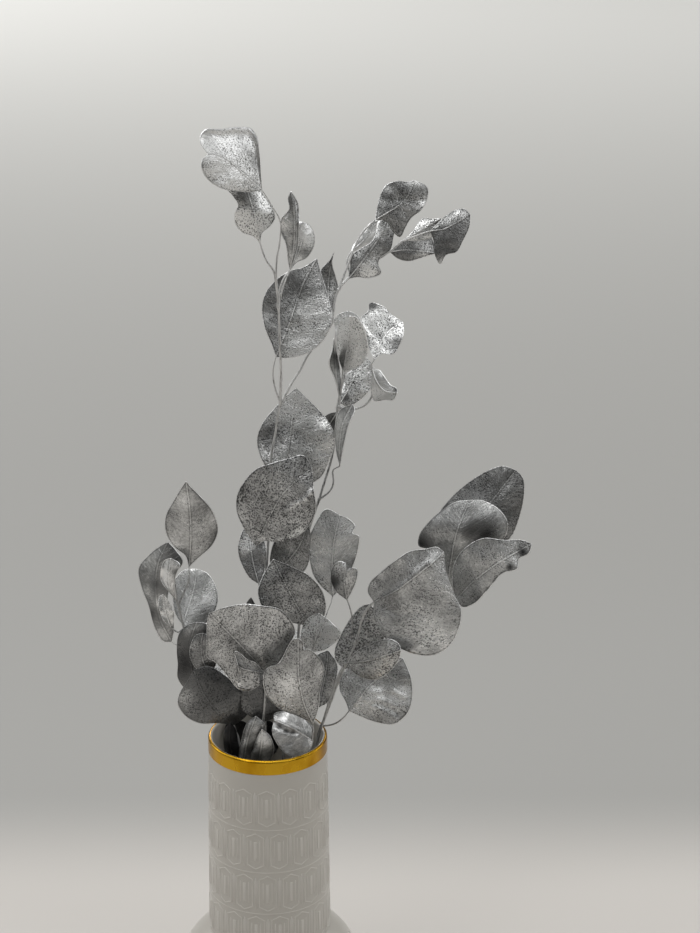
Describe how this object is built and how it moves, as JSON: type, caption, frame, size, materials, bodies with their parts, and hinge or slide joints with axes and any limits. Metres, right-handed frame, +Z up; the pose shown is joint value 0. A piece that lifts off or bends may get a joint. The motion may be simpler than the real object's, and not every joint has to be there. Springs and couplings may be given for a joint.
{
  "type": "dried eucalyptus populus in a vase",
  "caption": "Silver-painted dried eucalyptus branches with round leaves, standing in a tall-necked white porcelain vase with a gold rim.",
  "frame": {"origin": "centre of the vase's flat underside, where it rests", "axes": "+Z up along the vase's axis; the pictured front faces -Y; +X is the viewer's right"},
  "size_m": [0.2685, 0.182, 0.6894],
  "materials": {
    "porcelain": "satin white glaze with a low relief; the top 10 mm and the lip are gold",
    "silver_leaf": "dried leaf and stem with silver paint, half glossy and pitted"
  },
  "bodies": {
    "root": {"vase": "porcelain", "tall_branch": "silver_leaf", "middle_branch": "silver_leaf", "right_branch": "silver_leaf", "left_branch": "silver_leaf", "front_branch": "silver_leaf", "front_sprig": "silver_leaf"}
  },
  "joints": []
}
